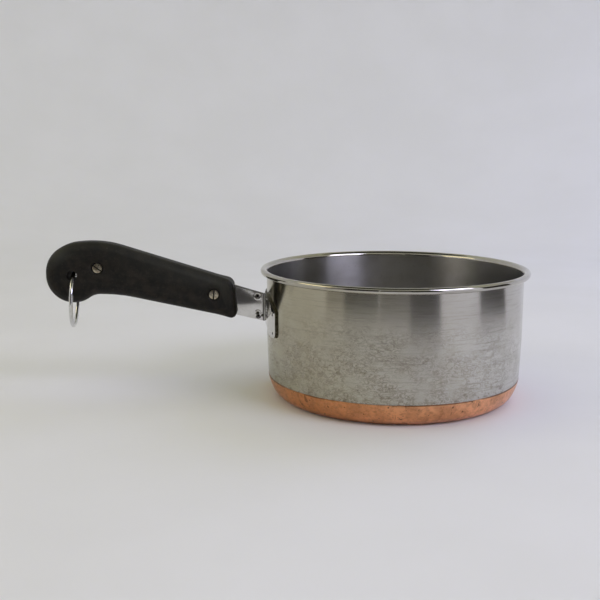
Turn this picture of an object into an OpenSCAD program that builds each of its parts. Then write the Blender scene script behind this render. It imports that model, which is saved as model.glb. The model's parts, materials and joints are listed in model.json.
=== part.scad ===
// Two-quart saucepan: stainless steel body with a rolled rim, copper plated bottom, two-part stick
// handle screwed over a spot-welded steel bracket, and a wire hanging ring in the handle's end.
// The pan stands on z = 0 with its axis on Z, and the handle points along -X.

/* [Pan body] */
// Height of the rim above the table
pan_h = 89; // [80:1:100]
// Outer radius of the straight upper wall
wall_r = 87.65; // [86:0.05:89]
// Outer radius of the wall where the bottom corner starts
corner_wall_r = 86.93; // [86:0.05:87.6]
// Height where the straight wall ends and the slight taper starts
taper_z = 43; // [30:1:60]
// Thickness of the steel sheet
wall_t = 0.85; // [0.6:0.05:1.2]
// Outer radius of the rolled rim's section
bead_r = 2.02; // [1.6:0.02:2.4]
// Horizontal distance from the inner wall to the crest of the rim
lip_r = 3.18; // [2.9:0.02:3.6]

/* [Bottom corner] */
// Large radius at the wall
corner_r1 = 30; // [24:1:36]
// Small radius at the base
corner_r2 = 11; // [8:0.5:14]
// Angle turned through on the large radius
corner_turn = 30; // [20:1:40]

/* [Copper bottom] */
// Thickness of the copper layer
copper_t = 0.3; // [0.2:0.05:0.5]
// Height of the copper layer's top edge
copper_h = 15.5; // [12:0.5:19]

/* [Bracket] */
// Thickness of each of the two bracket sheets
sheet_t = 1.4; // [1:0.1:1.6]
// Half width of the flange that is welded to the wall
flange_w = 36.2; // [33:0.1:40]
// Lowest edge of the flange
flange_z0 = 45.9; // [44:0.1:48]
// Highest point of the flange
flange_z1 = 72.2; // [70:0.1:74]
// Radius of the flange's rounded lower corner
flange_corner_r = 3; // [1:0.5:4]
// Diameter of the spot-weld dimples
weld_d = 2.6; // [2:0.1:3.2]

/* [Handle] */
// Thickness of each handle half
scale_t = 9; // [8:0.1:10]
// Radius that rounds each half's outer edge
edge_r = 6; // [4:0.5:6]
// Radius of the bulb at the handle's end
bulb_r = 19.8; // [19:0.1:20.5]
// Clearance between the tang and its pocket
pocket_gap = 0.05; // [0.02:0.01:0.1]

/* [Screws] */
// Diameter of the screw and nut heads
head_d = 7.2; // [6.4:0.1:7.6]
// Thickness of the heads
head_t = 1.8; // [1.4:0.1:2.2]
// Depth of the heads below the handle's face
head_sink = 0.5; // [0.2:0.1:1]
// Diameter of the screw's shank
shank_d = 4; // [3.5:0.1:4.2]
// Outer diameter of the barrel nut's sleeve
barrel_d = 5.6; // [5.2:0.1:5.8]
// Width of the screwdriver slots
slot_w = 1; // [0.8:0.1:1.2]

/* [Hanging ring] */
// Mean radius of the ring
ring_r = 18; // [17.5:0.1:18.5]
// Diameter of the ring's wire
wire_d = 2.4; // [2:0.1:2.6]
// Diameter of the hole that the ring passes through
ring_hole_d = 5.6; // [5.4:0.1:6]

/* [Hidden] */
$fn = 96;
// Facets of a hull's own circles, and a sliver that keeps cuts and joins clean
hull_fn = 40;
eps = 0.01;

steel = [0.72, 0.72, 0.70];
copper = [0.80, 0.45, 0.30];
phenolic = [0.07, 0.07, 0.06];
tarnished = [0.60, 0.54, 0.42];
chrome = [0.80, 0.80, 0.82];

// Centres of the two corner arcs, tangent to each other, the wall and the base
c1_x = corner_wall_r - corner_r1;
c2_x = c1_x + (corner_r1 - corner_r2) * cos(corner_turn);
c2_z = copper_t + corner_r2;
c1_z = c2_z + (corner_r1 - corner_r2) * sin(corner_turn);

// The rim: the crest of the lip, and the heights of its two arcs' centres
crest_x = wall_r - wall_t + lip_r;
lip_z = pan_h - lip_r;
bead_z = pan_h - bead_r;
// Share of the curl's radius by which its open stretch reaches below its centre
curl_open = 0.5;

// Places on the handle's middle plane, as [x, z]
front_screw_at = [-123.9, 70.9];
rear_screw_at = [-203.1, 89.1];
ring_at = [-220.4, 83.9];
bulb_at = [-219.5, 85.2];
crown_at = [-206.5, 90];
neck_at = [-196, 89.4];
front_top_at = [-116.2, 75];
front_low_at = [-114.8, 62.1];
crown_r = 18;
neck_r = 17;
front_r = 6.6;
tang_end_r = 8;
rear_slot_turn = 35;
front_slot_turn = -85;

// The tang's lower edge from inside the wall to the rear screw, then its upper edge back again
tang_root_x = 1 - wall_r;
tang_outline = [[tang_root_x, 50.9], [-108.9, 56.1], [-126, 60.2], [-136, 66], [-204.5, 81.3],
                [-200.5, 96.7], [-136, 80], [-126, 82.1], [-109.6, 76.8], [tang_root_x, 69.7]];
// Spot welds that hold the two tang sheets together, as [x, z], and those in each flange, as [y, z]
tang_welds = [[-94.2, 68.9], [-94, 56.4]];
flange_welds = [[31.7, 61.7], [31.7, 48.9]];
// Radius of a weld's hollow, as a share of its diameter at the face
weld_bulge = 1.2;
// The flange's lower edge, from the tang outwards, as [y, z]
flange_low = [[0, 51.3], [16, 51.3], [24, 46.8], [28, flange_z0]];
// The arc of the flange's upper edge: its radius, and how far its centre is from the tang
flange_crown_r = 45;
flange_crown_y = 10;

// Clearances on the diameter: screw in tang and handle, nut in handle, head in counterbore, thread
shank_clearance = 0.6;
barrel_clearance = 0.2;
head_clearance = 0.8;
thread_clearance = 0.1;
// Gaps at the ends of the nut's sleeve and the screw's shank
barrel_end_gap = 0.4;
shank_end_gap = 1;
// Share of the head's thickness that the slot cuts away
slot_depth = 0.5;
head_seat_y = scale_t - head_sink - head_t;
counterbore_d = head_d + head_clearance;
// The ring hangs in the hole: half its sagitta over the handle's thickness lies above the axis
ring_drop = ring_r - (ring_r - sqrt(pow(ring_r, 2) - pow(scale_t, 2))) / 2;

// Half section of a solid pan shape, inset from the steel's outer face by d
module pan_section(d) {
    polygon([[0, copper_t + d], [c2_x, copper_t + d],
             [c2_x + (corner_r2 - d) * cos(corner_turn), c2_z - (corner_r2 - d) * sin(corner_turn)],
             [corner_wall_r - d, c1_z], [wall_r - d, taper_z], [wall_r - d, lip_z], [0, lip_z]]);
    intersection() {
        translate([c2_x, c2_z]) circle(corner_r2 - d);
        translate([c2_x, copper_t + d]) square([corner_r2, corner_r2]);
    }
    intersection() {
        translate([c1_x, c1_z]) circle(corner_r1 - d);
        polygon([[c1_x, c1_z], [c1_x + 2 * corner_r1 * cos(corner_turn),
                 c1_z - 2 * corner_r1 * sin(corner_turn)], [c1_x + 2 * corner_r1, c1_z]]);
    }
}

// Section of the rolled rim: the flared lip, then the sheet curled outwards and under
module rim_section() {
    intersection() {
        translate([crest_x, lip_z]) difference() {
            circle(lip_r);
            circle(lip_r - wall_t);
        }
        translate([crest_x - lip_r - 1, lip_z]) square([lip_r + 1, lip_r + 1]);
    }
    difference() {
        translate([crest_x, bead_z]) circle(bead_r);
        translate([crest_x, bead_z]) circle(bead_r - wall_t);
        translate([crest_x - 2 * bead_r, bead_z - bead_r * curl_open]) square([2 * bead_r, 2 * bead_r]);
    }
}

module pan_body() {
    color(steel) rotate_extrude() {
        difference() {
            pan_section(0);
            pan_section(wall_t);
            translate([0, lip_z - eps]) square([wall_r - wall_t, 1]);
        }
        rim_section();
    }
}

module copper_bottom() {
    color(copper) rotate_extrude() difference() {
        pan_section(-copper_t);
        pan_section(0);
        translate([0, copper_h]) square([2 * wall_r, pan_h]);
    }
}

// A flat shape in the x-z plane, from y = 0 to y = t
module upright(t) {
    translate([0, t, 0]) rotate([90, 0, 0]) linear_extrude(t) children();
}

// The tang's side view, without its screw holes, and grown by a gap at its lower and upper edges
module tang_shape(gap) {
    points = len(tang_outline);
    polygon([for (i = [0 : points - 1]) tang_outline[i] + [0, i < points / 2 ? -gap : gap]]);
    translate(rear_screw_at) circle(tang_end_r + gap);
}

// One half of the flange as seen from the handle's end, as [y, z]
module flange_shape() {
    intersection() {
        union() {
            polygon(concat(flange_low, [[flange_w - flange_corner_r, flange_z0],
                [flange_w, flange_z0 + flange_corner_r], [flange_w, flange_z1], [0, flange_z1]]));
            translate([flange_w - flange_corner_r, flange_z0 + flange_corner_r]) circle(flange_corner_r);
        }
        translate([flange_crown_y, flange_z1 - flange_crown_r]) circle(flange_crown_r);
    }
}

// The flange on the +Y side: a cylindrical sheet on the wall, trimmed to its outline
module flange() {
    intersection() {
        difference() {
            cylinder(h = pan_h, r = wall_r + sheet_t);
            translate([0, 0, -1]) cylinder(h = pan_h + 2, r = wall_r);
        }
        rotate([90, 0, -90]) mirror([1, 0, 0]) linear_extrude(2 * wall_r) flange_shape();
    }
}

// The sheet on the +Y side: tang plate, flange, screw holes and the hollows of the spot welds
module bracket_sheet() {
    weld_r = weld_d * weld_bulge;
    weld_out = sqrt(pow(weld_r, 2) - pow(weld_d / 2, 2));
    difference() {
        union() {
            difference() {
                upright(sheet_t) tang_shape(0);
                cylinder(h = pan_h, r = wall_r);
            }
            flange();
        }
        for (at = [front_screw_at, rear_screw_at]) translate([at[0], -1, at[1]]) rotate([-90, 0, 0])
            cylinder(h = sheet_t + 2, d = shank_d + shank_clearance);
        for (at = tang_welds)
            translate([at[0], sheet_t + weld_out, at[1]]) sphere(weld_r);
        for (at = flange_welds) {
            turn = asin(at[0] / (wall_r + sheet_t));
            rotate([0, 0, 180 - turn]) translate([wall_r + sheet_t + weld_out, 0, at[1]]) sphere(weld_r);
        }
    }
}

module bracket_far() {
    color(steel) bracket_sheet();
}

module bracket_near() {
    color(steel) mirror([0, 1, 0]) bracket_sheet();
}

// A round corner of the handle's outline: thin discs that narrow along the rounded outer edge
module button(at, r) {
    for (share = [scale_t / edge_r, 0.98, 0.6, 0.3, 0]) {
        y = max(eps, scale_t - edge_r * share);
        over = max(0, edge_r * (1 - share));
        inset = edge_r - sqrt(pow(edge_r, 2) - pow(over, 2));
        translate([at[0], y, at[1]]) rotate([90, 0, 0])
            cylinder(h = eps, r = r - inset, $fn = hull_fn);
    }
}

// The half of the handle on the +Y side, without its screw holes
module scale_blank() {
    difference() {
        union() {
            hull() {
                button(bulb_at, bulb_r);
                button(crown_at, crown_r);
                button(neck_at, neck_r);
            }
            hull() {
                button(neck_at, neck_r);
                button(front_top_at, front_r);
                button(front_low_at, front_r);
            }
        }
        translate([0, -eps, 0]) upright(sheet_t + pocket_gap + eps) tang_shape(pocket_gap);
        translate([ring_at[0], -1, ring_at[1]]) rotate([-90, 0, 0])
            cylinder(h = scale_t + 2, d = ring_hole_d);
    }
}

module screw_holes(through_d) {
    for (at = [front_screw_at, rear_screw_at]) translate([at[0], 0, at[1]]) rotate([-90, 0, 0]) {
        translate([0, 0, -1]) cylinder(h = scale_t + 2, d = through_d);
        translate([0, 0, head_seat_y]) cylinder(h = scale_t, d = counterbore_d);
    }
}

module handle_scale_far() {
    color(phenolic) difference() {
        scale_blank();
        screw_holes(barrel_d + barrel_clearance);
    }
}

module handle_scale_near() {
    color(phenolic) mirror([0, 1, 0]) difference() {
        scale_blank();
        screw_holes(shank_d + shank_clearance);
    }
}

// A slotted head on the +Y side, with its seat on the counterbore's floor
module slotted_head(turn) {
    difference() {
        translate([0, 0, head_seat_y]) cylinder(h = head_t, d = head_d);
        rotate([0, 0, turn]) translate([-head_d, -slot_w / 2, head_seat_y + head_t * (1 - slot_depth)])
            cube([2 * head_d, slot_w, head_t]);
    }
}

// A machine screw from the near side
module screw(at, turn) {
    color(tarnished) mirror([0, 1, 0]) translate([at[0], 0, at[1]]) rotate([-90, 0, 0]) {
        slotted_head(turn);
        translate([0, 0, shank_end_gap - head_seat_y])
            cylinder(h = 2 * head_seat_y - shank_end_gap, d = shank_d);
    }
}

// A barrel nut from the far side, with a bore for the screw
module barrel_nut(at, turn) {
    color(tarnished) translate([at[0], 0, at[1]]) rotate([-90, 0, 0]) difference() {
        union() {
            slotted_head(turn);
            translate([0, 0, sheet_t + barrel_end_gap])
                cylinder(h = head_seat_y - sheet_t - barrel_end_gap + eps, d = barrel_d);
        }
        translate([0, 0, -1]) cylinder(h = head_seat_y + 1, d = shank_d + thread_clearance);
    }
}

module hanging_ring() {
    color(chrome) translate([ring_at[0], 0, ring_at[1] - ring_drop]) rotate([0, 90, 0])
        rotate_extrude() translate([ring_r, 0]) circle(d = wire_d);
}

pan_body();
copper_bottom();
bracket_near();
bracket_far();
handle_scale_near();
handle_scale_far();
screw(front_screw_at, front_slot_turn);  // front_screw
barrel_nut(front_screw_at, front_slot_turn);  // front_barrel_nut
screw(rear_screw_at, rear_slot_turn);  // rear_screw
barrel_nut(rear_screw_at, rear_slot_turn);  // rear_barrel_nut
hanging_ring();
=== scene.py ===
"""Looks of the two-quart saucepan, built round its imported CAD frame.

Lengths in the constants and in the shape functions are millimetres in the row frame (+Z up, handle along -X);
finished meshes are scaled to metres. Every new piece replaces its CAD node and rides on that node's body.
"""

import json
import math

import bmesh
import bpy
import numpy as np
from mathutils import Matrix, Vector


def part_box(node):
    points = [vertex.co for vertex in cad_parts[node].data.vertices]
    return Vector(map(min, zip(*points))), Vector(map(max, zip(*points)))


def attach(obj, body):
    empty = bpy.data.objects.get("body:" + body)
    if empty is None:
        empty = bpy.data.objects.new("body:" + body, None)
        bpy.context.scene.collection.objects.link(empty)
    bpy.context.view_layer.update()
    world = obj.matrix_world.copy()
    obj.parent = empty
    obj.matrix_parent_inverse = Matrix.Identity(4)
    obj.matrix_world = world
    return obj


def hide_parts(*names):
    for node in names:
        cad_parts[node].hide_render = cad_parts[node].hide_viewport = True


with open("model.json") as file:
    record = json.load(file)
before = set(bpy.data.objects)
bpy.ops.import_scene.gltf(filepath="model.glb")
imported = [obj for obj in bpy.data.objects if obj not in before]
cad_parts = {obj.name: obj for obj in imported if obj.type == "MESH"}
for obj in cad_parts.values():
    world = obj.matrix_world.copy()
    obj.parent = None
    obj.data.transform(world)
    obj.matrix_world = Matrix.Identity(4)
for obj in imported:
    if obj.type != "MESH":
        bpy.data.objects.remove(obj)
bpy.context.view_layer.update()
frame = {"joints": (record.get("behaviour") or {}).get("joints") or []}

MM = 0.001


def box_mm(node):
    """Lowest and highest corners of a CAD node, in millimetres."""
    low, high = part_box(node)
    return np.array(low) / MM, np.array(high) / MM


PAN_LOW, PAN_HIGH = box_mm("pan_body")
COPPER_LOW, COPPER_HIGH = box_mm("copper_bottom")
TANG_LOW, TANG_HIGH = box_mm("bracket_near")
HANDLE_LOW, HANDLE_HIGH = box_mm("handle_scale_near")
RING_LOW, RING_HIGH = box_mm("hanging_ring")
RING_AXIS = [v / MM for v in frame["joints"][0]["pos_m"]]

# The pan's section
SHEET = 0.85
COPPER = PAN_LOW[2] - COPPER_LOW[2]
BEAD_R = 2.02
LIP_R = 3.18
TOP_Z = PAN_HIGH[2]
CREST_X = PAN_HIGH[0] - BEAD_R
WALL_R = CREST_X - LIP_R + SHEET
TAPER = 0.72
TAPER_Z = 43.0
CORNER_R1 = 30.0
CORNER_R2 = 11.0
CORNER_TURN = 30.0
CURL_END = 210.0

# The handle: distance of each outline circle from the left end and from the top, and its radius,
# negative where the outline curves inwards
OUTLINE = {
    "bulb": (19.8, 22.8, 19.8),
    "shoulder": (24.2, 27.4, 26.0),
    "crown": (31.5, 70.9, 70.0),
    "front_top": (122.6, 32.6, 6.4),
    "front_low": (127.0, 49.5, 4.0),
    "underside": (38.3, 147.45, -110.0),
    "throat": (37.2, 50.5, -13.1),
    "belly": (18.7, 24.6, 18.7),
}
SCALE_T = -HANDLE_LOW[1]
EDGE_R = 6.0
FRONT_EDGE_R = 2.6
PARTING_CHAMFER = 0.25

# The screw and nut heads in their counterbores
HEAD_R = 3.2
HEAD_T = 1.8
HEAD_TOP = SCALE_T - 0.5
HEAD_SEAT = HEAD_TOP - HEAD_T
COUNTERBORE_R = 4.0
SHANK_HOLE_R = 2.3
SLOT_W = 1.0
# Degrees that the slots are turned from level
SLOT_TURN = {"front": -85.0, "rear": 35.0}

# The bracket
BRACKET_T = 1.4
BEND_R = 1.3
FLANGE_TURN = math.degrees(math.asin(-TANG_LOW[1] / (WALL_R + BRACKET_T)))
FLANGE_Z0 = TANG_LOW[2]
CROWN_R = 45.0
CROWN_Y = 10.0
CROWN_Z = 72.2 - CROWN_R
CREASE_Z = (51.3, 70.3)
CREASE_X = -90.0
HANDLE_END_Z = (55.8, 76.2)
HANDLE_END_X = -108.9


# The ring is a shade larger than a round 38 mm, and its wire a shade thicker
RING_GROWTH = 0.55
WIRE_GROWTH = 0.15
# How the ring hangs in its loose hole: degrees round the upright and across, and mm towards the handle's end
RING_YAW = 6.0
RING_PITCH = 2.5
RING_SHIFT = -0.1

# Main metal colours; the steel's yellower tint on the handle's side is a painted warm reflection, and the
# copper's two colours paint it lighter on the right
STEEL_LIGHT = (0.56, 0.545, 0.50)
STEEL_DARK = (0.49, 0.47, 0.425)
STEEL_WARM_REFLECTION = (0.84, 0.81, 0.67)
COPPER_SHADED_LEFT = (0.72, 0.30, 0.115)
COPPER_LIT_RIGHT = (1.0, 0.52, 0.285)


# The camera, in metres, degrees and millimetres
CAMERA_AT = (-0.0648, -0.6296, 0.1786)
CAMERA_DIP = 10.16
LENS = 55.26

# Dim parts of the room that only the metal mirrors: azimuths from the front, distance, height, shade
DIM_CARDS = {
    "left": (-44, -16.7, 360.0, 600.0, 0.05),
    "centre": (-16.0, 7, 345.0, 600.0, 0.17),
    "middle": (7, 30.5, 318.0, 500.0, 0.06),
    "right": (66, 97, 355.0, 400.0, 0.07),
    "edge": (-60, -44, 385.0, 600.0, 0.33),
}

# Soft lights: azimuth, elevation, distance and size in metres, watts, colour, whether the metal mirrors it
LIGHTS = {
    "window": (48, 38, 1.5, (0.8, 0.5), 8.0, (0.70, 0.69, 1.0), True),
    "lamp": (-78, 36, 1.4, (0.8, 0.25), 1.4, (1.0, 0.85, 0.45), True),
    "side": (130, 45, 1.6, (1.0, 1.0), 6.5, (0.45, 0.48, 1.0), False),
    "ceiling": (0, 90, 2.6, (3.3, 3.3), 21.0, (1.0, 1.0, 0.63), False),
}


# ---------------------------------------------------------------- shapes


def arc(centre, radius, start, end, steps):
    """Points on an arc, from angle start to angle end in degrees, both ends included."""
    angles = np.radians(np.linspace(start, end, steps + 1))
    return [(centre[0] + radius * math.cos(a), centre[1] + radius * math.sin(a)) for a in angles]


def belt(circles, step):
    """Clockwise outline round signed circles, like a belt round pulleys, with arc points every step mm."""
    count = len(circles)
    normals = []
    for i, (x, z, r) in enumerate(circles):
        nx, nz, nr = circles[(i + 1) % count]
        dx, dz = nx - x, nz - z
        length = math.hypot(dx, dz)
        normals.append(math.atan2(dz, dx) + math.acos((r - nr) / length))
    points = []
    for i, (x, z, r) in enumerate(circles):
        start, end = normals[i - 1], normals[i]
        turn = (start - end) % (2 * math.pi)
        if r < 0:
            turn -= 2 * math.pi
        steps = max(2, round(abs(turn * r) / step))
        for k in range(steps + 1):
            a = start - turn * k / steps
            points.append((x + r * math.cos(a), z + r * math.sin(a)))
    return points


def spread(points, step):
    """The same closed outline with its long straight stretches divided."""
    result = []
    for i, p in enumerate(points):
        q = points[(i + 1) % len(points)]
        parts = max(1, round(math.dist(p, q) / step))
        result += [(p[0] + (q[0] - p[0]) * k / parts, p[1] + (q[1] - p[1]) * k / parts) for k in range(parts)]
    return result


def make_object(name, points, faces, materials, angle=32.0):
    """A mesh object from points in millimetres, smooth where its faces meet at less than angle degrees."""
    mesh = bpy.data.meshes.new(name)
    mesh.from_pydata([tuple(c * MM for c in p) for p in points], [], faces)
    mesh.validate()
    obj = bpy.data.objects.new(name, mesh)
    bpy.context.scene.collection.objects.link(obj)
    for m in materials:
        mesh.materials.append(m)
    smooth(mesh, angle)
    return obj


def smooth(mesh, angle):
    """Shades a mesh smooth, apart from edges sharper than angle degrees."""
    mesh.shade_smooth()
    mesh.set_sharp_from_angle(angle=math.radians(angle))


def revolve(name, section, steps, materials, angle=32.0):
    """Turns a closed section of (radius, height) points round the Z axis; radius 0 points become poles."""
    points, rings = [], []
    for r, z in section:
        if r < 1e-6:
            rings.append([len(points)] * steps)
            points.append((0.0, 0.0, z))
            continue
        first = len(points)
        for k in range(steps):
            a = 2 * math.pi * k / steps
            points.append((r * math.cos(a), r * math.sin(a), z))
        rings.append(list(range(first, first + steps)))
    faces = []
    for i, lower in enumerate(rings):
        upper = rings[(i + 1) % len(rings)]
        if lower[0] == lower[1] and upper[0] == upper[1]:
            continue
        for k in range(steps):
            n = (k + 1) % steps
            corners = [lower[k], lower[n], upper[n], upper[k]]
            faces.append(list(dict.fromkeys(corners)))
    return make_object(name, points, faces, materials, angle)


def apply_modifiers(obj):
    """Replaces an object's mesh by its evaluated one."""
    graph = bpy.context.evaluated_depsgraph_get()
    mesh = bpy.data.meshes.new_from_object(obj.evaluated_get(graph))
    obj.modifiers.clear()
    obj.data = mesh


def cut(obj, cutters, angle=32.0):
    """Takes the cutters' volumes away from obj, and removes the cutters."""
    for cutter in cutters:
        m = obj.modifiers.new("cut", "BOOLEAN")
        m.operation = "DIFFERENCE"
        m.solver = "EXACT"
        m.object = cutter
    bpy.context.view_layer.update()
    apply_modifiers(obj)
    for cutter in cutters:
        bpy.data.objects.remove(cutter)
    smooth(obj.data, angle)


def place(obj, node, body="pan"):
    """The piece stands for a CAD node, which it hides, and rides on its body."""
    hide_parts(node)
    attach(obj, body)
    return obj


def mirror_y(obj):
    """Mirrors a finished mesh across the handle's middle plane."""
    mesh = bmesh.new()
    mesh.from_mesh(obj.data)
    for v in mesh.verts:
        v.co.y = -v.co.y
    bmesh.ops.reverse_faces(mesh, faces=mesh.faces)
    mesh.to_mesh(obj.data)
    mesh.free()
    obj.data.update()


# ---------------------------------------------------------------- material nodes


class Nodes:
    """A material's node tree, with one short call per node."""

    def __init__(self, name):
        self.material = bpy.data.materials.new(name)
        self.material.use_nodes = True
        self.tree = self.material.node_tree
        self.tree.nodes.clear()
        self.output = self.tree.nodes.new("ShaderNodeOutputMaterial")
        self.object = self.tree.nodes.new("ShaderNodeTexCoord").outputs["Object"]

    def add(self, kind, inputs, **settings):
        """A node whose inputs are set by name to a value or linked to a socket."""
        node = self.tree.nodes.new(kind)
        for key, value in settings.items():
            setattr(node, key, value)
        for key, value in inputs.items():
            socket = node.inputs[key]
            if isinstance(value, bpy.types.NodeSocket):
                self.tree.links.new(value, socket)
            else:
                socket.default_value = value
        return node

    def stretched(self, scale, offset=(0.0, 0.0, 0.0)):
        """The object's coordinates in metres, stretched and shifted."""
        node = self.add("ShaderNodeMapping", {"Vector": self.object, "Scale": scale, "Location": offset})
        return node.outputs["Vector"]

    def noise(self, scale, detail=4.0, roughness=0.55, vector=None, distortion=0.0):
        """Noise from 0 to 1; scale is in waves per metre."""
        inputs = {
            "Vector": vector or self.object,
            "Scale": scale,
            "Detail": detail,
            "Roughness": roughness,
            "Distortion": distortion,
        }
        return self.add("ShaderNodeTexNoise", inputs).outputs["Fac"]

    def ramp(self, value, low, high, to_low=0.0, to_high=1.0):
        """Maps low..high to to_low..to_high with a smooth clamp."""
        inputs = {"Value": value, "From Min": low, "From Max": high, "To Min": to_low, "To Max": to_high}
        node = self.add("ShaderNodeMapRange", inputs, interpolation_type="SMOOTHSTEP")
        return node.outputs["Result"]

    def math(self, operation, a, b=0.0):
        """One arithmetic operation."""
        return self.add("ShaderNodeMath", {0: a, 1: b}, operation=operation).outputs[0]

    def blend(self, share, a, b, mode="MIX"):
        """Mixes two colours."""
        node = self.tree.nodes.new("ShaderNodeMix")
        node.data_type = "RGBA"
        node.blend_type = mode
        for index, value in ((0, share), (6, a), (7, b)):
            if isinstance(value, bpy.types.NodeSocket):
                self.tree.links.new(value, node.inputs[index])
            elif index:
                node.inputs[index].default_value = (*value, 1.0)
            else:
                node.inputs[index].default_value = value
        return node.outputs[2]

    def axis(self, index):
        """One of the object's coordinates."""
        return self.add("ShaderNodeSeparateXYZ", {0: self.object}).outputs[index]

    def attribute(self, name):
        """A number stored on the mesh's points."""
        return self.add("ShaderNodeAttribute", {}, attribute_name=name).outputs["Fac"]

    def bump(self, height, distance, strength=1.0, normal=None):
        """A bump of a height from 0 to 1 times a distance in metres."""
        inputs = {"Height": height, "Distance": distance, "Strength": strength}
        if normal:
            inputs["Normal"] = normal
        return self.add("ShaderNodeBump", inputs).outputs["Normal"]

    def finish(self, **inputs):
        """Adds the shader and returns the material."""
        named = {key.replace("_", " "): value for key, value in inputs.items()}
        shader = self.add("ShaderNodeBsdfPrincipled", named)
        self.tree.links.new(shader.outputs[0], self.output.inputs[0])
        return self.material


def rgb(red, green, blue):
    return (red, green, blue, 1.0)


def steel_material():
    """Polished steel: faint turned rings, water marks and brown spots low down; a painted warm reflection
    makes it yellower by the handle, and painted light makes the lower wall lighter on the right.
    """
    n = Nodes("steel")
    height = n.axis(2)
    low_down = n.ramp(height, 0.040, 0.078, 1.0, 0.0)
    lowest = n.ramp(height, 0.015, 0.027, 1.0, 0.0)
    clouds = n.noise(26.0, 4.0, 0.55)
    worms = n.noise(240.0, 3.0, 0.62, n.stretched((1.0, 1.0, 1.8)), 1.1)
    worms = n.math("ABSOLUTE", n.math("SUBTRACT", worms, 0.5))
    worms = n.ramp(worms, 0.0, 0.075, 1.0, 0.0)
    where = n.ramp(n.noise(60.0, 4.0, 0.6, n.stretched((1.0, 1.0, 1.5), (3.0, 1.0, 0.0))), 0.30, 0.58)
    where = n.math("MULTIPLY", where, n.ramp(n.axis(0), -0.03, 0.06, 1.0, 0.55))
    strength = n.math("ADD", n.math("MULTIPLY", low_down, 0.9), 0.1)
    marks = n.math("MULTIPLY", n.math("MULTIPLY", worms, where), strength)
    haze = n.math("MULTIPLY", n.ramp(n.noise(95.0, 5.0, 0.65), 0.4, 0.65), low_down)
    spots = n.ramp(n.noise(210.0, 4.0, 0.6, n.stretched((1.0, 1.0, 1.5), (7.0, 2.0, 5.0))), 0.52, 0.66)
    spots = n.math("MULTIPLY", spots, lowest)
    dots = n.ramp(n.noise(260.0, 1.0, 0.3, n.stretched((1.0, 1.0, 1.0), (1.0, 4.0, 2.0))), 0.845, 0.86)
    colour = n.blend(n.ramp(clouds, 0.32, 0.68), STEEL_LIGHT, STEEL_DARK)
    # Painted reflection: a warm tint on the handle's side, weaker on the rim
    painted_side_light = n.ramp(n.axis(0), -0.09, 0.045, 0.9, 0.0)
    painted_side_light = n.math("MULTIPLY", painted_side_light, n.ramp(height, 0.0835, 0.0862, 1.0, 0.35))
    # Painted light: the lower wall lighter on the right
    painted_light_low_right = n.math("MULTIPLY", n.ramp(n.axis(0), 0.02, 0.06, 0.0, 0.7), low_down)
    colour = n.blend(painted_side_light, colour, STEEL_WARM_REFLECTION, "MULTIPLY")
    colour = n.blend(painted_light_low_right, colour, (0.70, 0.69, 0.66))
    colour = n.blend(n.math("MULTIPLY", haze, 0.5), colour, (0.46, 0.44, 0.37))
    colour = n.blend(n.math("MULTIPLY", marks, 0.85), colour, (0.25, 0.215, 0.165))
    colour = n.blend(n.math("MULTIPLY", spots, 0.65), colour, (0.19, 0.15, 0.10))
    colour = n.blend(n.math("MULTIPLY", dots, 0.8), colour, (0.08, 0.06, 0.05))
    streaks = n.noise(1.0, 4.0, 0.65, n.stretched((38.0, 38.0, 900.0), (0.0, 2.0, 0.0)))
    colour = n.blend(n.ramp(streaks, 0.5, 0.70, 0.0, 0.4), colour, (0.27, 0.25, 0.21))
    rings = n.noise(1.0, 3.0, 0.6, n.stretched((9.0, 9.0, 1500.0)))
    rough = n.math("ADD", n.ramp(rings, 0.3, 0.7, 0.15, 0.17), n.math("MULTIPLY", low_down, 0.05))
    rough = n.math("ADD", rough, n.math("MULTIPLY", marks, 0.08))
    rough = n.math("SUBTRACT", rough, n.ramp(height, 0.0838, 0.0862, 0.0, 0.085))
    normal = n.bump(rings, 0.000008, 0.25)
    around = n.add("ShaderNodeTangent", {}, direction_type="RADIAL", axis="Z").outputs[0]
    return n.finish(
        Base_Color=colour, Metallic=1.0, Roughness=rough, Normal=normal,
        Anisotropic=0.4, Anisotropic_Rotation=0.25, Tangent=around,
    )


def inside_material():
    """The pan's brushed inside, clouded by use, with painted shade darkening its left and right ends."""
    n = Nodes("steel_inside")
    clouds = n.ramp(n.noise(45.0, 5.0, 0.6), 0.35, 0.68)
    colour = n.blend(clouds, (0.525, 0.515, 0.495), (0.44, 0.425, 0.395))
    colour = n.blend(n.ramp(n.noise(260.0, 4.0, 0.65), 0.6, 0.75, 0.0, 0.4), colour, (0.30, 0.28, 0.24))
    # Painted shade: the inside darker towards its left and right ends
    painted_shade_ends = n.ramp(n.math("ABSOLUTE", n.axis(0)), 0.052, 0.080, 0.0, 0.75)
    colour = n.blend(painted_shade_ends, colour, (0.17, 0.17, 0.165))
    rings = n.noise(1.0, 3.0, 0.6, n.stretched((9.0, 9.0, 1300.0)))
    around = n.add("ShaderNodeTangent", {}, direction_type="RADIAL", axis="Z").outputs[0]
    rough = n.ramp(rings, 0.3, 0.7, 0.29, 0.33)
    return n.finish(
        Base_Color=colour, Metallic=1.0, Roughness=rough, Normal=n.bump(rings, 0.000008, 0.25),
        Anisotropic=0.85, Anisotropic_Rotation=0.25, Tangent=around,
    )


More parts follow.
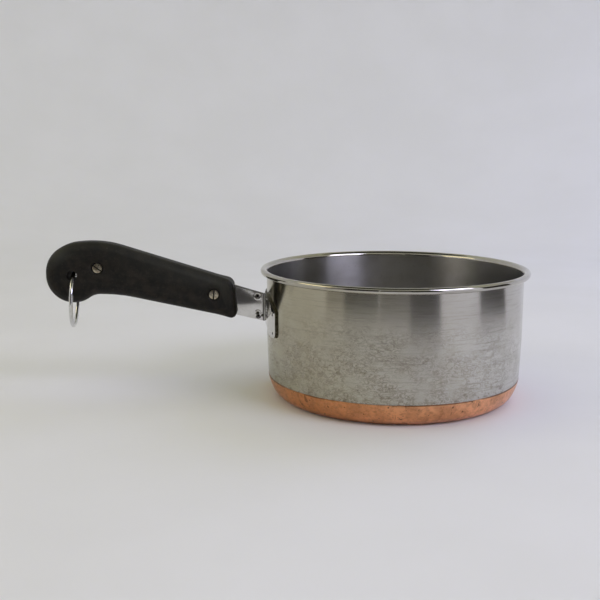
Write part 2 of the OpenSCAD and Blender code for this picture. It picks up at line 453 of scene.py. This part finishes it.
def copper_material():
    """Plated copper: satin, mottled brown, with dark runs, pits and a darker line along its upper edge;
    painted light makes it lighter towards the right.
    """
    n = Nodes("copper")
    height = n.axis(2)
    patches = n.ramp(n.noise(70.0, 5.0, 0.62, n.stretched((1.0, 1.0, 1.4))), 0.36, 0.66)
    mottle = n.ramp(n.noise(330.0, 5.0, 0.68, n.stretched((1.0, 1.0, 1.2), (5.0, 0.0, 1.0))), 0.44, 0.66)
    grain = n.noise(1100.0, 4.0, 0.65)
    runs = n.noise(1.0, 4.0, 0.65, n.stretched((170.0, 170.0, 34.0), (0.3, 0.0, 0.0)), 0.4)
    runs = n.ramp(runs, 0.63, 0.68)
    pits = n.ramp(n.noise(390.0, 2.0, 0.4, n.stretched((1.0, 1.0, 1.0), (2.0, 9.0, 4.0))), 0.70, 0.75)
    edge_line = n.ramp(height, COPPER_HIGH[2] * MM - 0.0010, COPPER_HIGH[2] * MM - 0.0003)
    edge_line = n.math("MULTIPLY", edge_line, n.ramp(n.noise(26.0, 3.0), 0.44, 0.56))
    # Painted light: the copper lighter towards the right, darker on the handle's side
    painted_side_light = n.ramp(n.axis(0), -0.075, 0.06)
    colour = n.blend(painted_side_light, COPPER_SHADED_LEFT, COPPER_LIT_RIGHT)
    colour = n.blend(n.math("MULTIPLY", patches, 0.55), colour, (0.42, 0.185, 0.08))
    colour = n.blend(n.math("MULTIPLY", mottle, 0.42), colour, (0.30, 0.125, 0.055))
    colour = n.blend(n.ramp(grain, 0.4, 0.7, 0.0, 0.3), colour, (0.74, 0.42, 0.25))
    colour = n.blend(n.math("MULTIPLY", runs, 0.6), colour, (0.13, 0.055, 0.03))
    dark = n.math("MAXIMUM", pits, edge_line)
    colour = n.blend(n.math("MULTIPLY", dark, 0.75), colour, (0.045, 0.022, 0.015))
    rough = n.math("ADD", n.ramp(grain, 0.3, 0.7, 0.27, 0.36), n.math("MULTIPLY", mottle, 0.08))
    normal = n.bump(grain, 0.00002, 0.4)
    return n.finish(Base_Color=colour, Metallic=1.0, Roughness=rough, Normal=normal)


def bracket_material():
    """Polished sheet with faint scratches; the point attribute darkens the spot welds' hollows and paints
    shade along the crease at the wall and along the top edge.
    """
    n = Nodes("bracket_steel")
    weld_dark_and_shade = n.attribute("weld_dark_and_shade")
    cloud = n.noise(160.0, 4.0, 0.6)
    scratch = n.noise(1.0, 3.0, 0.6, n.stretched((300.0, 60.0, 1800.0)))
    colour = n.blend(n.ramp(cloud, 0.35, 0.7), (0.64, 0.63, 0.61), (0.55, 0.535, 0.51))
    specks = n.ramp(n.noise(900.0, 2.0, 0.5), 0.62, 0.72, 0.0, 0.6)
    colour = n.blend(specks, colour, (0.20, 0.17, 0.13))
    # Dark weld hollows, and painted shade along the crease and the top edge
    colour = n.blend(weld_dark_and_shade, colour, (0.016, 0.012, 0.010))
    rough = n.math("ADD", n.ramp(scratch, 0.3, 0.7, 0.035, 0.06), n.math("MULTIPLY", weld_dark_and_shade, 0.4))
    normal = n.bump(scratch, 0.000002, 0.2)
    return n.finish(Base_Color=colour, Metallic=1.0, Roughness=rough, Normal=normal)


def cut_edge_material():
    """The bracket's sheared edges: dull and dark, partly from dirt caught in them and partly as painted
    shade.
    """
    n = Nodes("sheared_edge")
    streaks = n.noise(900.0, 4.0, 0.6)
    colour = n.blend(n.ramp(streaks, 0.4, 0.7), (0.085, 0.08, 0.06), (0.20, 0.19, 0.15))
    return n.finish(Base_Color=colour, Metallic=1.0, Roughness=0.42, Normal=n.bump(streaks, 0.00002, 0.4))


def phenolic_material():
    """Moulded black phenolic, worn dull: brown mottling, pale specks, and a greenish haze as painted light on
    the upward faces and along the rounded top edge, and as a paler patch on the bulb.
    """
    n = Nodes("phenolic")
    pale_and_painted_light = n.attribute("pale_and_painted_light")
    mottle = n.ramp(n.noise(125.0, 6.0, 0.72, n.stretched((1.0, 1.0, 1.0), (4.0, 0.0, 0.0))), 0.42, 0.62)
    fine = n.noise(620.0, 6.0, 0.72)
    specks = n.ramp(n.noise(900.0, 2.0, 0.5, n.stretched((1.0, 1.0, 1.0), (2.0, 3.0, 0.0))), 0.70, 0.76)
    colour = n.blend(mottle, (0.0024, 0.0020, 0.0012), (0.0125, 0.0095, 0.0055))
    colour = n.blend(n.ramp(fine, 0.52, 0.66, 0.0, 0.6), colour, (0.030, 0.024, 0.018))
    # Painted light on the top and its rounded edge, and the bulb's paler patch, as a greenish haze
    colour = n.blend(n.math("MULTIPLY", pale_and_painted_light, 0.7), colour, (0.042, 0.043, 0.034))
    speck_share = n.math("ADD", n.math("MULTIPLY", pale_and_painted_light, 0.5), 0.22)
    colour = n.blend(n.math("MULTIPLY", specks, speck_share), colour, (0.12, 0.105, 0.09))
    rough = n.ramp(fine, 0.3, 0.7, 0.48, 0.64)
    normal = n.bump(fine, 0.00010, 0.5)
    normal = n.bump(n.noise(150.0, 3.0), 0.0002, 0.35, normal)
    return n.finish(
        Base_Color=colour, Metallic=0.0, Roughness=rough, Normal=normal, IOR=1.5, Specular_IOR_Level=0.3
    )


def screw_material():
    """Nickelled brass, tarnished brown in places."""
    n = Nodes("screw_metal")
    tarnish = n.ramp(n.noise(420.0, 4.0, 0.6), 0.4, 0.68)
    colour = n.blend(tarnish, (0.62, 0.57, 0.45), (0.36, 0.29, 0.20))
    fine = n.noise(1800.0, 3.0, 0.6)
    rough = n.ramp(fine, 0.3, 0.7, 0.24, 0.4)
    return n.finish(Base_Color=colour, Metallic=1.0, Roughness=rough, Normal=n.bump(fine, 0.00002, 0.4))


def slot_shade_material():
    """Painted shade: a near-black dull finish for the screw slots."""
    n = Nodes("slot_painted_shade")
    return n.finish(Base_Color=rgb(0.02, 0.017, 0.012), Metallic=0.0, Roughness=0.75)


def ring_material():
    """Polished steel wire with faint drawing marks."""
    n = Nodes("ring_wire")
    marks = n.noise(900.0, 3.0, 0.6)
    colour = n.blend(n.ramp(marks, 0.4, 0.75), (0.72, 0.72, 0.72), (0.55, 0.54, 0.51))
    rough = n.ramp(marks, 0.3, 0.7, 0.07, 0.16)
    return n.finish(Base_Color=colour, Metallic=1.0, Roughness=rough, Normal=n.bump(marks, 0.000006, 0.3))


def cloth_material():
    """The pale floor and backdrop."""
    n = Nodes("pale_floor")
    cloud = n.noise(7.0, 4.0, 0.5)
    colour = n.blend(n.ramp(cloud, 0.3, 0.7), (0.80, 0.80, 0.795), (0.775, 0.775, 0.765))
    return n.finish(Base_Color=colour, Metallic=0.0, Roughness=0.95, Specular_IOR_Level=0.1)


# ---------------------------------------------------------------- pieces


def corner_section(depth):
    """Corner of the pan from base to wall, depth inside the steel's outer face, as (radius, height)."""
    wall = WALL_R - TAPER
    c1_x = wall - CORNER_R1
    c2_x = c1_x + (CORNER_R1 - CORNER_R2) * math.cos(math.radians(CORNER_TURN))
    c2_z = PAN_LOW[2] + CORNER_R2
    c1_z = c2_z + (CORNER_R1 - CORNER_R2) * math.sin(math.radians(CORNER_TURN))
    small = arc((c2_x, c2_z), CORNER_R2 - depth, -90, -CORNER_TURN, 14)
    large = arc((c1_x, c1_z), CORNER_R1 - depth, -CORNER_TURN, 0, 12)
    return small + large[1:]


def pan_body(steel, brushed):
    """The steel shell with its flared lip and rolled rim, as one closed section turned round Z."""
    lip = (CREST_X, TOP_Z - LIP_R)
    bead = (CREST_X, TOP_Z - BEAD_R)
    outside = [(0.0, PAN_LOW[2])] + corner_section(0.0) + [(WALL_R, TAPER_Z), (WALL_R, lip[1])]
    flare = arc(lip, LIP_R - SHEET, 180, 90, 12)[1:]
    curl_inside = arc(bead, BEAD_R - SHEET, 90, CURL_END - 360, 22)
    curl_outside = arc(bead, BEAD_R, CURL_END - 360, 90, 40)
    lip_inside = arc(lip, LIP_R, 90, 180, 18)[1:]
    inside = [(WALL_R - SHEET, TAPER_Z)] + corner_section(SHEET)[::-1] + [(0.0, PAN_LOW[2] + SHEET)]
    section = outside + flare + curl_inside[1:] + curl_outside + lip_inside + inside
    obj = revolve("saucepan_body", section, 256, [steel, brushed])
    for face in obj.data.polygons:
        across = math.hypot(face.center.x, face.center.y) / MM
        below_lip = face.center.z / MM < lip[1] - 1.0
        faces_out = face.center.x * face.normal.x + face.center.y * face.normal.y > 1e-9
        if below_lip and across < WALL_R - SHEET / 2 and not faces_out:
            face.material_index = 0 if face.normal.z < -0.1 else 1
    return place(obj, "pan_body")


def copper_bottom(copper):
    """The copper layer, with a soft edge a little uneven round the pan."""
    outer = [p for p in corner_section(-COPPER) if p[1] < COPPER_HIGH[2] - 0.8]
    inner = [p for p in corner_section(0.0) if p[1] < COPPER_HIGH[2] - 0.8]
    top_r = np.interp(COPPER_HIGH[2], *zip(*[(z, r) for r, z in corner_section(-COPPER)]))
    edge = [(top_r - 0.03, COPPER_HIGH[2] - 0.12), (top_r - 0.14, COPPER_HIGH[2])]
    edge.append((top_r - COPPER, COPPER_HIGH[2]))
    section = [(0.0, COPPER_LOW[2])] + outer + edge + inner[::-1] + [(0.0, PAN_LOW[2])]
    obj = revolve("copper_layer", section, 256, [copper])
    for v in obj.data.vertices:
        if v.co.z > (COPPER_HIGH[2] - 0.3) * MM:
            a = math.atan2(v.co.y, v.co.x)
            wave = 0.05 * math.sin(5 * a) + 0.03 * math.sin(17 * a + 1) + 0.02 * math.sin(41 * a)
            v.co.z -= (0.1 + wave) * MM
    return place(obj, "copper_bottom")


def handle_outline():
    """The handle's side view as (x, z) points, clockwise from the bulb."""
    left, top = HANDLE_LOW[0], HANDLE_HIGH[2]
    circles = [(left + dx, top - dz, r) for dx, dz, r in OUTLINE.values()]
    return np.array(spread(belt(circles, 1.0), 2.0))


def distance_to(outline, points):
    """Shortest distance from each point to the closed outline."""
    a = outline
    d = np.roll(outline, -1, axis=0) - a
    rel = points[:, None, :] - a[None, :, :]
    t = np.clip((rel * d).sum(-1) / (d * d).sum(-1), 0, 1)
    return np.linalg.norm(rel - t[..., None] * d, axis=-1).min(axis=1)


def inset(outline, spine, depth):
    """Moves each outline point towards its nearest point on the spine until it is depth from the outline."""
    low, high = np.zeros(len(outline)), np.ones(len(outline))
    for _ in range(24):
        middle = (low + high) / 2
        points = outline + (spine - outline) * middle[:, None]
        short = distance_to(outline, points) < depth
        low = np.where(short, middle, low)
        high = np.where(short, high, middle)
    return outline + (spine - outline) * high[:, None]


def spine_points(outline):
    """For each outline point, the nearest point on a line from the bulb to the front end."""
    left, top = HANDLE_LOW[0], HANDLE_HIGH[2]
    bulb = OUTLINE["bulb"]
    line = np.array([(left + bulb[0], top - bulb[1]), (left + 40.0, top - 19.5), (left + 122.0, top - 39.5)])
    t = np.linspace(0, 2, 161)
    dense = np.stack([np.interp(t, range(3), line[:, k]) for k in range(2)], axis=1)
    nearest = np.linalg.norm(outline[:, None] - dense[None], axis=-1).argmin(axis=1)
    return dense[nearest]


def prism(name, outline, y0, y1):
    """A closed prism between y0 and y1 from a clockwise (x, z) outline."""
    count = len(outline)
    points = [(x, y, z) for y in (y0, y1) for x, z in outline]
    faces = [list(range(count))[::-1], list(range(count, 2 * count))]
    faces += [[k, (k + 1) % count, count + (k + 1) % count, count + k] for k in range(count)]
    return make_object(name, points, faces, [])


def lathe_y(name, section, at, steps=48):
    """A closed section of (radius, y) points turned round the line through at = (x, z) along Y."""
    points, rings = [], []
    for r, y in section:
        first = len(points)
        for k in range(steps):
            a = 2 * math.pi * k / steps
            points.append((at[0] + r * math.cos(a), y, at[1] + r * math.sin(a)))
        rings.append(first)
    faces = [list(range(rings[0], rings[0] + steps))]
    for first, after in zip(rings, rings[1:]):
        for k in range(steps):
            n = (k + 1) % steps
            faces.append([first + k, after + k, after + n, first + n])
    faces.append(list(range(rings[-1], rings[-1] + steps))[::-1])
    return make_object(name, points, faces, [])


def screw_centre(node):
    """A screw's axis in the handle's side view."""
    low, high = box_mm(node)
    return ((low[0] + high[0]) / 2, (low[2] + high[2]) / 2)


def handle_half(name, near, phenolic):
    """One moulded half: rounded outer edge, parting chamfer, tang pocket, counterbores and ring hole."""
    outline = handle_outline()
    spine = spine_points(outline)
    front = np.clip((outline[:, 0] - HANDLE_HIGH[0] + 14.0) / 11.0, 0, 1)
    front = front * front * (3 - 2 * front)
    edge = EDGE_R + (FRONT_EDGE_R - EDGE_R) * front
    count = len(outline)
    chamfer = inset(outline, spine, PARTING_CHAMFER)
    rings = [(chamfer, np.zeros(count)), (outline, np.full(count, PARTING_CHAMFER))]
    for angle in np.radians(np.linspace(0, 90, 11)):
        depth = edge * (1 - math.cos(angle))
        y = SCALE_T - edge * (1 - math.sin(angle))
        rings.append((inset(outline, spine, depth) if angle else outline, y))
    points = []
    for xz, y in rings:
        points += [(xz[k, 0], y[k], xz[k, 1]) for k in range(count)]
    faces = [list(range(count))[::-1]]
    for r in range(len(rings) - 1):
        a, b = r * count, (r + 1) * count
        faces += [[a + k, a + (k + 1) % count, b + (k + 1) % count, b + k] for k in range(count)]
    faces.append([(len(rings) - 1) * count + k for k in range(count)])
    obj = make_object(name, points, faces, [phenolic])
    cutters = [prism("pocket", tang_pocket(), -1.0, BRACKET_T + 0.06)]
    for node in ("front_screw", "rear_screw"):
        at = screw_centre(node)
        bore = [(SHANK_HOLE_R, -1.0), (SHANK_HOLE_R, HEAD_SEAT), (COUNTERBORE_R, HEAD_SEAT)]
        bore += [(COUNTERBORE_R, SCALE_T - 0.35), (COUNTERBORE_R + 0.8, SCALE_T + 0.45)]
        cutters.append(lathe_y("counterbore", bore, at))
    ring_at = (RING_AXIS[0], RING_AXIS[2])
    # Opens towards the face to let the turned ring through
    hole = [(2.8, -1.0), (2.8, 5.0), (3.1, 7.2), (3.55, SCALE_T), (3.8, SCALE_T + 0.5)]
    cutters.append(lathe_y("ring_hole", hole, ring_at))
    cut(obj, cutters)
    store_pale_and_lit(obj)
    if near:
        mirror_y(obj)
    return obj


def store_pale_and_lit(obj):
    """Stores how pale each point is: painted light on upward faces, a painted highlight along the rounded top
    edge, and a paler patch on the bulb's upper left.
    """
    places = [(v.co.x / MM, v.co.z / MM) for v in obj.data.vertices]
    depths = distance_to(handle_outline(), np.array(places))
    values = []
    for v, (x, z), depth in zip(obj.data.vertices, places, depths):
        # Painted light: upward faces paler
        top = np.clip(v.normal.z * 1.2 - 0.1, 0, 1) * 0.45
        bulb = math.exp(-((x - HANDLE_LOW[0] - 11.0) ** 2 + (z - HANDLE_HIGH[2] + 11.0) ** 2) / 50.0)
        front = 0.3 + 0.7 * np.clip((x + 190) / 75, 0, 1)
        # Painted highlight: a pale band along the rounded top edge, stronger towards the front
        above = z > 66 - 0.18 * (x - HANDLE_HIGH[0])
        band = 0.85 * front * math.exp(-(((depth - 4.6) / 2.3) ** 2)) if above else 0.0
        values.append(float(min(1.0, top + 0.65 * bulb + band)))
    obj.data.attributes.new("pale_and_painted_light", "FLOAT", "POINT").data.foreach_set("value", values)


def tang_pocket():
    """Side view of the space for the tang inside the handle, clockwise."""
    rear = screw_centre("rear_screw")
    end = [(rear[0] - 8.1, rear[1] - 2), (rear[0] - 5.5, rear[1] + 6), (rear[0] + 2.6, rear[1] + 7.7)]
    top = [(-136.0, 80.1), (-126.0, 82.2), (HANDLE_END_X + 3, HANDLE_END_Z[1] - 0.9)]
    low = [(HANDLE_END_X + 3, HANDLE_END_Z[0] - 0.8), (-126.0, 60.1), (-136.0, 65.9)]
    return end + top + low + [(rear[0] - 1.4, rear[1] - 7.9), (rear[0] - 6, rear[1] - 5.5)]


def bracket_path():
    """Plan of the bracket sheet's middle: stations of (x, y, normal x, normal y, turn round the wall)."""
    middle = WALL_R + BRACKET_T / 2
    centre_y = BRACKET_T / 2 + BEND_R
    centre_x = -math.sqrt((middle + BEND_R) ** 2 - centre_y**2)
    bend_end = math.degrees(math.asin(centre_y / (middle + BEND_R)))
    inside = np.arange(TANG_LOW[0] + 8, HANDLE_END_X - 4, 6.0)
    outside = np.linspace(HANDLE_END_X - 4, centre_x, 62)
    stations = [(x, BRACKET_T / 2, 0.0, 1.0, -1.0) for x in [*inside, *outside]]
    for t in np.radians(np.linspace(0, 90 - bend_end, 9)[1:]):
        x = centre_x + BEND_R * math.sin(t)
        y = centre_y - BEND_R * math.cos(t)
        stations.append((x, y, -math.sin(t), math.cos(t), 0.0))
    for turn in np.linspace(bend_end, FLANGE_TURN, 92)[1:]:
        t = math.radians(turn)
        stations.append((-middle * math.cos(t), middle * math.sin(t), -math.cos(t), math.sin(t), turn))
    return stations


def tang_edges(x):
    """Lowest and highest point of the tang at a place along the handle."""
    low_z = [81.3, 66, 60.2, HANDLE_END_Z[0], CREASE_Z[0]]
    high_z = [96.7, 80, 82.1, HANDLE_END_Z[1], CREASE_Z[1]]
    low = np.interp(x, [-204.5, -136, -126, HANDLE_END_X, -89.3], low_z)
    high = np.interp(x, [-200.5, -136, -126, HANDLE_END_X, -89.3], high_z)
    return low, high


def flange_edges(turn):
    """Lowest and highest point of the flange at an angle round the wall."""
    y = (WALL_R + BRACKET_T) * math.sin(math.radians(turn))
    width = (WALL_R + BRACKET_T) * math.sin(math.radians(FLANGE_TURN))
    low = np.interp(y, [0, 16, 20, 24, 28], [51.3, 51.3, 49.2, 46.8, FLANGE_Z0])
    corner = 3.0
    over = max(0.0, y - (width - corner))
    low += corner - math.sqrt(max(0.0, corner**2 - over**2))
    high = CROWN_Z + math.sqrt(CROWN_R**2 - (y - CROWN_Y) ** 2)
    return low, high


def weld_places():
    """The spot welds' hollows as (x, y, z, radius, depth) on the outer face, for the +Y side."""
    places = [(-94.2, BRACKET_T, 68.9, 1.45, 0.55), (-94.0, BRACKET_T, 56.9, 1.15, 0.45)]
    places += [(-93.7, BRACKET_T, 54.9, 1.35, 0.5), (-90.9, BRACKET_T, 55.5, 0.8, 0.25)]
    for z in (61.7, 48.9):
        t = math.asin(31.7 / (WALL_R + BRACKET_T))
        r = WALL_R + BRACKET_T
        places.append((-r * math.cos(t), r * math.sin(t), z, 0.95, 0.3))
    return places


def sheet_edges(x, y, turn):
    """Lowest and highest point of the bracket sheet at one of its stations."""
    if turn < 0:
        return tang_edges(x)
    if turn == 0:
        return CREASE_Z[0], CREASE_Z[1] + 0.8 * (y / (BRACKET_T / 2 + BEND_R))
    return flange_edges(turn)


def weld_marks(point, welds):
    """Depth of the spot welds' hollows at a point of the outer face, and how dark they are."""
    sink, darkness = 0.0, 0.0
    for wx, wy, wz, r, depth in welds:
        d = math.dist(point, (wx, wy, wz)) / r
        sink += depth * math.exp(-((d * 1.05) ** 4)) - 0.035 * math.exp(-(((d - 1.4) / 0.35) ** 2))
        darkness = max(darkness, math.exp(-((d * 1.02) ** 6)))
    return sink, darkness


def sheet_faces(columns, rows):
    """Faces of a sheet whose outer points come before its inner ones, and the faces round its edge."""
    count = columns * (rows + 1)
    faces, edge_faces = [], []
    for c in range(columns - 1):
        for k in range(rows):
            a, b = c * (rows + 1) + k, (c + 1) * (rows + 1) + k
            faces.append([a, a + 1, b + 1, b])
            faces.append([count + a, count + b, count + b + 1, count + a + 1])
        for k in (0, rows):
            a, b = c * (rows + 1) + k, (c + 1) * (rows + 1) + k
            edge_faces.append([a, b, count + b, count + a] if k == 0 else [a, count + a, count + b, b])
    for c in (0, columns - 1):
        for k in range(rows):
            a = c * (rows + 1) + k
            corners = [a, count + a, count + a + 1, a + 1]
            edge_faces.append(corners if c == 0 else [corners[i] for i in (0, 3, 2, 1)])
    return faces, edge_faces


def bracket(name, near, materials):
    """One bracket sheet: tang, bend and flange, with spot-weld hollows in its outer face."""
    stations, welds = bracket_path(), weld_places()
    rows, half = 54, BRACKET_T / 2
    outer, inner, weld_dark_and_shade = [], [], []
    for x, y, nx, ny, turn in stations:
        low, high = sheet_edges(x, y, turn)
        for k in range(rows + 1):
            z = low + (high - low) * k / rows
            p = (x + nx * half, y + ny * half, z)
            sink, darkness = weld_marks(p, welds)
            if turn <= 0:
                # Painted shade along the crease where the tang meets the wall, and along the top edge
                darkness = max(darkness, 0.8 * math.exp(-(((x - CREASE_X) / 0.7) ** 2)))
                darkness = max(darkness, 0.55 * math.exp(-(((high - z) / 0.5) ** 2)))
            outer.append((p[0] - nx * sink, p[1] - ny * sink, z))
            inner.append((x - nx * half, y - ny * half, z))
            weld_dark_and_shade.append(darkness)
    faces, edge_faces = sheet_faces(len(stations), rows)
    points = outer + inner
    obj = make_object(name, points, faces + edge_faces, materials, 45)
    for polygon in list(obj.data.polygons)[len(faces):]:
        polygon.material_index = 1
    obj.data.attributes.new("weld_dark_and_shade", "FLOAT", "POINT").data.foreach_set("value", weld_dark_and_shade + [0.0] * len(inner))
    bevel = obj.modifiers.new("edge", "BEVEL")
    bevel.width = 0.14 * MM
    bevel.segments = 2
    bevel.angle_limit = math.radians(50)
    bpy.context.view_layer.update()
    apply_modifiers(obj)
    smooth(obj.data, 45)
    if near:
        mirror_y(obj)
    return obj


def slotted_head(name, at, turn, near, metals, shank):
    """A slotted cheese head on the handle's face, slightly domed, with its shank or sleeve behind it."""
    top, seat, r = HEAD_TOP, HEAD_SEAT, HEAD_R
    dome = [(r * math.sin(a), top - 0.28 + 0.28 * math.cos(a)) for a in np.radians([82, 60, 40, 20, 4])]
    section = [(shank[0], shank[1]), (shank[0], seat), (r - 0.1, seat), (r, seat + 0.1), (r, top - 0.45)]
    section += [(r - 0.06, top - 0.34)] + dome
    obj = lathe_y(name, section, at, 64)
    for m in metals:
        obj.data.materials.append(m)
    c, s = math.cos(math.radians(turn)), math.sin(math.radians(turn))
    half = SLOT_W / 2
    corners = [(-6, -half), (-6, half), (6, half), (6, -half)]
    turned = [(at[0] + u * c - v * s, at[1] + u * s + v * c) for u, v in corners]
    slot = prism("slot", turned, top - 0.95, top + 2)
    cut(obj, [slot])
    # Painted shade: the slot's walls and floor take the near-black second material
    for face in obj.data.polygons:
        x, y, z = (v / MM for v in face.center)
        if math.hypot(x - at[0], z - at[1]) < r - 0.15 and seat + 0.3 < y < top - 0.3:
            face.material_index = 1
    if near:
        mirror_y(obj)
    return obj


def hanging_ring(metal):
    """The wire ring, with the faint flattened joint where its ends meet at the bottom."""
    centre = (RING_LOW + RING_HIGH) / 2
    wire = (RING_HIGH[0] - RING_LOW[0]) / 2 + WIRE_GROWTH
    radius = (RING_HIGH[2] - RING_LOW[2]) / 2 - wire + RING_GROWTH
    centre[2] -= RING_GROWTH
    steps, sides = 160, 28
    points = []
    for i in range(steps):
        a = 2 * math.pi * i / steps
        off = (a - 1.62 * math.pi + math.pi) % (2 * math.pi) - math.pi
        pinch = 1 - 0.10 * math.exp(-((off / 0.012) ** 2))
        for k in range(sides):
            b = 2 * math.pi * k / sides
            r = radius + wire * pinch * math.cos(b)
            x = wire * pinch * math.sin(b)
            points.append((centre[0] + x, r * math.cos(a), centre[2] + r * math.sin(a)))
    faces = []
    for i in range(steps):
        for k in range(sides):
            j, m = (i + 1) % steps, (k + 1) % sides
            faces.append([i * sides + k, i * sides + m, j * sides + m, j * sides + k])
    obj = make_object("hanging_ring_wire", points, faces, [metal])
    hang(obj)
    return place(obj, "hanging_ring", "ring")


def hang(ring):
    """Turns the ring as it hangs in its loose hole, a little round the upright and along the handle."""
    top = Vector((RING_AXIS[0] * MM, 0.0, RING_HIGH[2] * MM))
    turn = Matrix.Rotation(math.radians(RING_YAW), 4, "Z") @ Matrix.Rotation(math.radians(RING_PITCH), 4, "Y")
    shift = Matrix.Translation(top + Vector((RING_SHIFT * MM, 0.0, 0.0)))
    ring.data.transform(shift @ turn @ Matrix.Translation(-top))


def build_pieces():
    """Makes every visible piece."""
    steel, copper, phenolic = steel_material(), copper_material(), phenolic_material()
    sheet, edge, wire = bracket_material(), cut_edge_material(), ring_material()
    metals = [screw_material(), slot_shade_material()]
    pan_body(steel, inside_material())
    copper_bottom(copper)
    for near, side in ((True, "near"), (False, "far")):
        half = handle_half(f"handle_half_{side}", near, phenolic)
        place(half, f"handle_scale_{side}")
        place(bracket(f"bracket_sheet_{side}", near, [sheet, edge]), f"bracket_{side}")
    for where, turn in SLOT_TURN.items():
        at = screw_centre(f"{where}_screw")
        screw = slotted_head(f"{where}_machine_screw", at, -turn, True, metals, (2.0, -5.7))
        place(screw, f"{where}_screw")
        nut = slotted_head(f"{where}_sleeve_nut", at, -turn, False, metals, (2.8, 1.8))
        place(nut, f"{where}_barrel_nut")
    hanging_ring(wire)


# ---------------------------------------------------------------- studio


def soft_light(name, azimuth, elevation, distance, size, power, colour, mirrored):
    """A rectangular soft light aimed at the pan; azimuth runs from the front (-Y) towards the right (+X)."""
    light = bpy.data.lights.new(name, "AREA")
    light.shape = "RECTANGLE"
    light.size, light.size_y = size
    light.energy = power
    light.color = colour
    obj = bpy.data.objects.new(name, light)
    turn, rise = math.radians(azimuth), math.radians(elevation)
    flat = distance * math.cos(rise)
    obj.location = (flat * math.sin(turn), -flat * math.cos(turn), distance * math.sin(rise))
    obj.rotation_euler = (-Vector(obj.location)).to_track_quat("-Z", "Y").to_euler()
    obj.visible_camera = False
    obj.visible_glossy = mirrored
    bpy.context.scene.collection.objects.link(obj)


def ring_of(radius, z, steps):
    """Points on a level circle."""
    turns = [2 * math.pi * k / steps for k in range(steps)]
    return [(radius * math.cos(a), radius * math.sin(a), z) for a in turns]


def dim_material(name, shade):
    """A plain dull grey."""
    return Nodes(name).finish(Base_Color=rgb(shade, shade * 0.95, shade * 0.85), Roughness=0.9)


def sector(name, start, end, inner, height, material):
    """A card on the floor between two azimuths, from radius inner outwards, bent up at its end."""
    count = 25
    points = []
    for r, z in ((inner, 1.0), (730.0, 1.0), (740.0, height)):
        for a in np.radians(np.linspace(start, end, count)):
            points.append((r * math.sin(a), -r * math.cos(a), z))
    firsts = [count * row + k for row in range(2) for k in range(count - 1)]
    faces = [[i, i + 1, i + count + 1, i + count] for i in firsts]
    return make_object(name, points, faces, [material])


def mirrored_only(obj):
    """A card that only the shiny parts see."""
    for flag in ("visible_camera", "visible_diffuse", "visible_shadow", "visible_transmission"):
        setattr(obj, flag, False)


def studio():
    """Pale floor, a pale wall all round it, soft lights and the dim room that the metal mirrors."""
    cloth = cloth_material()
    floor_r, cove_r, wall_r = 760.0, 700.0, 1700.0
    steps = 96
    floor = make_object("floor", ring_of(floor_r, 0.0, steps), [list(range(steps))], [cloth])
    section = [(floor_r, 0.0)] + arc((floor_r, cove_r), cove_r, -90, -20, 24)[1:] + [(wall_r, 2600.0)]
    points = [p for r, z in section for p in ring_of(r, z, steps)]
    faces = []
    for i in range(len(section) - 1):
        for k in range(steps):
            n = (k + 1) % steps
            faces.append([i * steps + k, i * steps + n, (i + 1) * steps + n, (i + 1) * steps + k])
    backdrop = make_object("backdrop", points, faces, [cloth])
    for name, (start, end, inner, height, shade) in DIM_CARDS.items():
        grey = dim_material(f"dim_{name}", shade)
        mirrored_only(sector(f"room_{name}", start, end, inner, height, grey))
    for name, settings in LIGHTS.items():
        soft_light(name, *settings)
    world = bpy.data.worlds.new("room")
    world.use_nodes = True
    background = world.node_tree.nodes["Background"]
    background.inputs["Color"].default_value = rgb(0.07, 0.07, 0.06)
    background.inputs["Strength"].default_value = 1.0
    bpy.context.scene.world = world
    bpy.context.scene.view_settings.view_transform = "Standard"


def camera():
    """The view of the pan from in front of it, a little above the rim."""
    data = bpy.data.cameras.new("camera")
    data.sensor_width = 36.0
    data.lens = LENS
    obj = bpy.data.objects.new("camera", data)
    obj.location = CAMERA_AT
    obj.rotation_euler = (math.radians(90 - CAMERA_DIP), 0.0, 0.0)
    bpy.context.scene.collection.objects.link(obj)
    bpy.context.scene.camera = obj


build_pieces()
studio()
camera()
